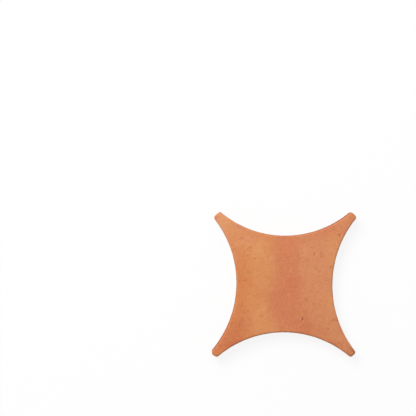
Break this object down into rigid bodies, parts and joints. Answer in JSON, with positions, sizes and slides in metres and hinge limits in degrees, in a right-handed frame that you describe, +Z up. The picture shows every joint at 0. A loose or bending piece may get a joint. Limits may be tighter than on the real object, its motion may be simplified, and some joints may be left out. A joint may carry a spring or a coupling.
{
  "type": "terracotta floor tile",
  "caption": "Unglazed terracotta floor tile with concave sides and blunt rounded horns, made to fill the space between round tiles in a floor.",
  "frame": {"origin": "centre of the tile on its bedding face", "axes": "+Z up out of the walking face; X and Y run through the middles of the concave sides; the horns point along the diagonals"},
  "size_m": [0.148, 0.148, 0.018],
  "materials": {
    "terracotta": "matt unglazed fired clay, flashed from ochre to rose in the kiln, fine pits and soft worn arrises"
  },
  "bodies": {
    "root": {"star_tile": "terracotta"}
  },
  "joints": []
}
